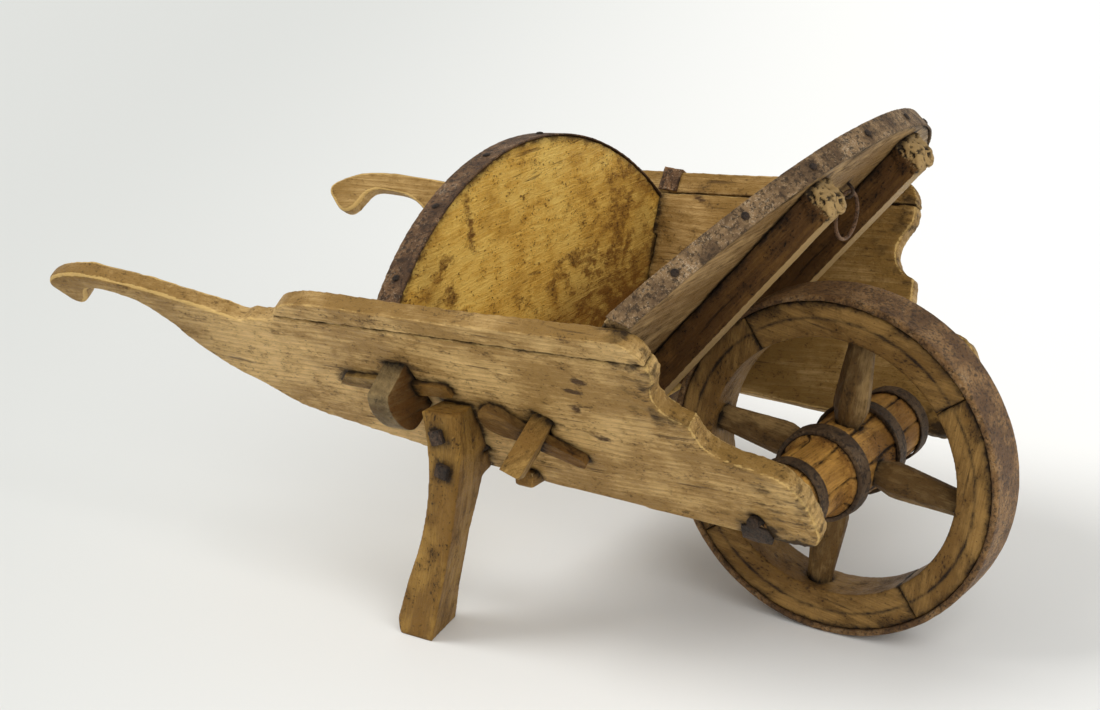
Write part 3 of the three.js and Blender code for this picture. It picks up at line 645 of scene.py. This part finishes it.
end_board("rear_board", BOARD, TENON, REAR_STAINS_AND_SHADE, rear_painted_shade, brown_side)
end_board("front_board", SLOPE, BAR)
for name in ("floor_board_rear", "floor_board_front"):
    worn_piece(name, BOARD, axes(middle(name), CROSSWAYS, UP), voxel=0.003, rounds=3)
bearer_grain = axes(middle("floor_bearer"), CROSSWAYS, UP)
worn_piece("floor_bearer", KEY, bearer_grain, voxel=0.0026, rounds=4)

for end, iron_of_band in (("rear", REAR_BAND), ("front", FRONT_BAND)):
    band = f"{end}_band"
    worn_piece(band, iron_of_band, axes(middle(band), CROSSWAYS, UP), voxel=0.0014, rounds=3,
               wave=0.0006, nibble=0.002)
    for nail in sorted(name for name in NODES if name.startswith(f"{band}_nail")):
        worn_piece(nail, SMALL, axes(middle(nail), CROSSWAYS, UP), voxel=0.0009, rounds=2,
                   wave=0.0002, dent=0.0002, nibble=0.0003)


def extra_piece(name, work, matrix, body, seed):
    """A small iron piece from a bmesh, carried by matrix to the row frame, hammered uneven."""
    mesh = bpy.data.meshes.new(name)
    work.to_mesh(mesh)
    work.free()
    at = coordinates(mesh)
    place(mesh, at)
    swelling = normals_of(mesh) * (0.0012 * noise(at, 0.008, seed, 3))[:, None]
    place(mesh, mapped(matrix, at + swelling))
    add_attribute(mesh, "grain", at)
    mesh.shade_smooth()
    mesh.materials.append(REAR_BAND)
    piece = bpy.data.objects.new(name, mesh)
    SCENE.collection.objects.link(piece)
    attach(piece, body)


# Clinched nail points on the ribs' front faces: side, distance from the middle towards the top end.
CLINCHES = (("right", 0.115), ("right", -0.060), ("left", 0.120))
FROM_RIB_AXIS = SLOPE_OUT * 0.0235 - Vector((0, 0.012, 0))
for count, (side, along) in enumerate(CLINCHES, 1):
    rib = f"front_rib_{side}"
    spot_on_rib = middle(rib) + UP_THE_FRONT * along + FROM_RIB_AXIS
    ball = bmesh.new()
    bmesh.ops.create_icosphere(ball, subdivisions=4, radius=0.0055)
    body = NODES[rib]["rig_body"]
    extra_piece(f"clinched_nail_{count}", ball, Matrix.Translation(spot_on_rib), body, seed=70 + count)

# A short iron strap on the left plank's inner face beside the rear board, folded over the top edge
STRAP_LENGTH = 0.034
STRAP_WIDTH = 0.032
STRAP_THICKNESS = 0.003
STRAP_BEHIND = 0.024  # its middle line behind the rear board's foremost point
slope = plank_frame("left", 1)
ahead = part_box("rear_board")[1].x - AXLE.x - STRAP_BEHIND
rail = mapped(slope, coordinates(bpy.data.objects["top_rail_left_worn"].data))
near_strap = rail[np.abs(rail[:, 0] - ahead) < STRAP_WIDTH / 2]
top = near_strap[:, 2].max()
inner = near_strap[:, 1].min()
outer = near_strap[:, 1].max()
strap = bmesh.new()
for centre, size in (
        ((ahead, inner - STRAP_THICKNESS / 2, top - STRAP_LENGTH / 2),
         (STRAP_WIDTH, STRAP_THICKNESS, STRAP_LENGTH)),
        ((ahead, (inner + outer) / 2, top + STRAP_THICKNESS / 2),
         (STRAP_WIDTH, outer - inner + STRAP_THICKNESS, STRAP_THICKNESS))):
    bmesh.ops.create_cube(strap, matrix=Matrix.Translation(centre) @ Matrix.Diagonal((*size, 1)))
bmesh.ops.subdivide_edges(strap, edges=strap.edges, cuts=12, use_grid_fill=True)
extra_piece("plank_strap_left", strap, slope.inverted(), NODES["side_plank_left"]["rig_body"], seed=80)


# Wheel, ring and staple

SCRIBED_RADIUS = 0.216
CHECK_ANGLES = np.radians((-150, -100, -62, -25, 20, 70, 115, 165))
CHECK_DEPTH = 0.003


def scribed_ring(at, points, normals):
    """Dirt in the ring scribed on both faces of the rim."""
    radius = np.hypot(points[:, 0] - AXLE.x, points[:, 2] - AXLE.z)
    face = smoothstep(0.5, 0.8, np.abs(normals[:, 1]))
    return 0.9 * np.exp(-((radius - SCRIBED_RADIUS) / 0.0022) ** 2) * face


def in_checks(at, points, normals):
    """From 0 to 1, how deep each point lies in the drying cracks along the nave."""
    turn = np.arctan2(at[:, 2], at[:, 1])
    wander = 0.12 * np.sin(9 * at[:, 0]) + 0.03 * noise(at, 0.02, 61, 2)
    depth = np.zeros(len(at))
    for angle in CHECK_ANGLES:
        away = np.angle(np.exp(1j * (turn - angle + wander)))
        depth += np.exp(-(away / 0.035) ** 2)
    return np.minimum(depth, 1)


def checks(at, points, normals, worn):
    return -CHECK_DEPTH * in_checks(at, points, normals)


for name in sorted(name for name in NODES if name.startswith("felloe")):
    outward = middle(name) - AXLE
    round_rim = outward.cross(Vector(CROSSWAYS))
    worn_piece(name, FELLOE, axes(middle(name), round_rim, CROSSWAYS), voxel=0.0022, rounds=2,
               wave=0.0006, grime_and_shade=scribed_ring)
for name in sorted(name for name in NODES if name.startswith("spoke")):
    outward = middle(name) - AXLE
    worn_piece(name, SPOKE, axes(middle(name), outward, CROSSWAYS), voxel=0.0018, rounds=2,
               wave=0.0005)
ALONG_AXLE = axes(AXLE, CROSSWAYS, UP)
worn_piece("nave", NAVE, ALONG_AXLE, voxel=0.0020, rounds=4, wave=0.0006, shape=checks,
           grime_and_shade=in_checks)
worn_piece("tyre", TYRE, ALONG_AXLE, voxel=0.0022, rounds=3, wave=0.0006)
for side, _ in SIDES:
    for hoop in (f"nave_hoop_{side}", f"nave_tip_hoop_{side}"):
        worn_piece(hoop, HOOP, ALONG_AXLE, voxel=0.0015, rounds=3, wave=0.0005)
    worn_piece(f"axle_pin_{side}", SMALL, ALONG_AXLE, voxel=0.0016, rounds=3, wave=0.0003)
for name, iron_of_piece in (("ring_staple", SMALL), ("hanging_ring", RING)):
    worn_piece(name, iron_of_piece, axes(middle(name), CROSSWAYS, UP), voxel=0.0011, rounds=2,
               wave=0.0002, dent=0.0002, nibble=0.0003)


# ---- stage ----------------------------------------------------------------------------------------------

def add_floor():
    """Pale paper, painted a little darker towards the left and the back of the camera's view as painted shade
    for uneven studio light.
    """
    size = 30
    corners = [(-size, -size, 0), (size, -size, 0), (size, size, 0), (-size, size, 0)]
    mesh = bpy.data.meshes.new("floor")
    mesh.from_pydata(corners, [], [(0, 1, 2, 3)])
    paper = Graph("paper", roughness=0.85)
    place_on_it = paper.put("ShaderNodeNewGeometry", {}).outputs["Position"]
    rightwards = paper.vector("DOT_PRODUCT", place_on_it, (0.92, 0.41, 0), output="Value")
    shade = paper.mix(paper.steep(rightwards, -1.6, 0.8), rgb(0.62, 0.63, 0.61), rgb(0.87, 0.87, 0.85))
    mesh.materials.append(paper.finish(shade))
    ground = bpy.data.objects.new("floor", mesh)
    SCENE.collection.objects.link(ground)


def add_lamp(name, toward, strength, spread):
    """An even studio light from the direction toward, as wide as spread degrees of the sky."""
    lamp = bpy.data.lights.new(name, "SUN")
    lamp.energy = strength
    lamp.angle = math.radians(spread)
    holder = bpy.data.objects.new(name, lamp)
    holder.rotation_euler = Vector(toward).to_track_quat("Z", "Y").to_euler()
    SCENE.collection.objects.link(holder)


def add_camera():
    azimuth = math.radians(32.62)
    elevation = math.radians(19.72)
    distance = 3.62
    aim = Vector((-0.03, 0, 0.312))
    level = math.cos(elevation)
    back = Vector((math.sin(azimuth) * level, -math.cos(azimuth) * level, math.sin(elevation)))
    data = bpy.data.cameras.new("camera")
    data.sensor_width = 36
    data.lens = 79.51
    holder = bpy.data.objects.new("camera", data)
    holder.location = aim + back * distance
    holder.rotation_euler = back.to_track_quat("Z", "Y").to_euler()
    SCENE.collection.objects.link(holder)
    SCENE.camera = holder


def add_world():
    world = bpy.data.worlds.new("studio")
    world.use_nodes = True
    background = world.node_tree.nodes["Background"]
    background.inputs["Color"].default_value = rgb(1.0, 1.0, 0.985)
    background.inputs["Strength"].default_value = 0.55
    SCENE.world = world


add_floor()
add_lamp("left", (-0.70, -0.45, 1.05), 1.5, 32)
add_lamp("right", (0.85, -0.60, 0.85), 1.4, 45)
add_world()
SCENE.view_settings.view_transform = "Standard"
add_camera()
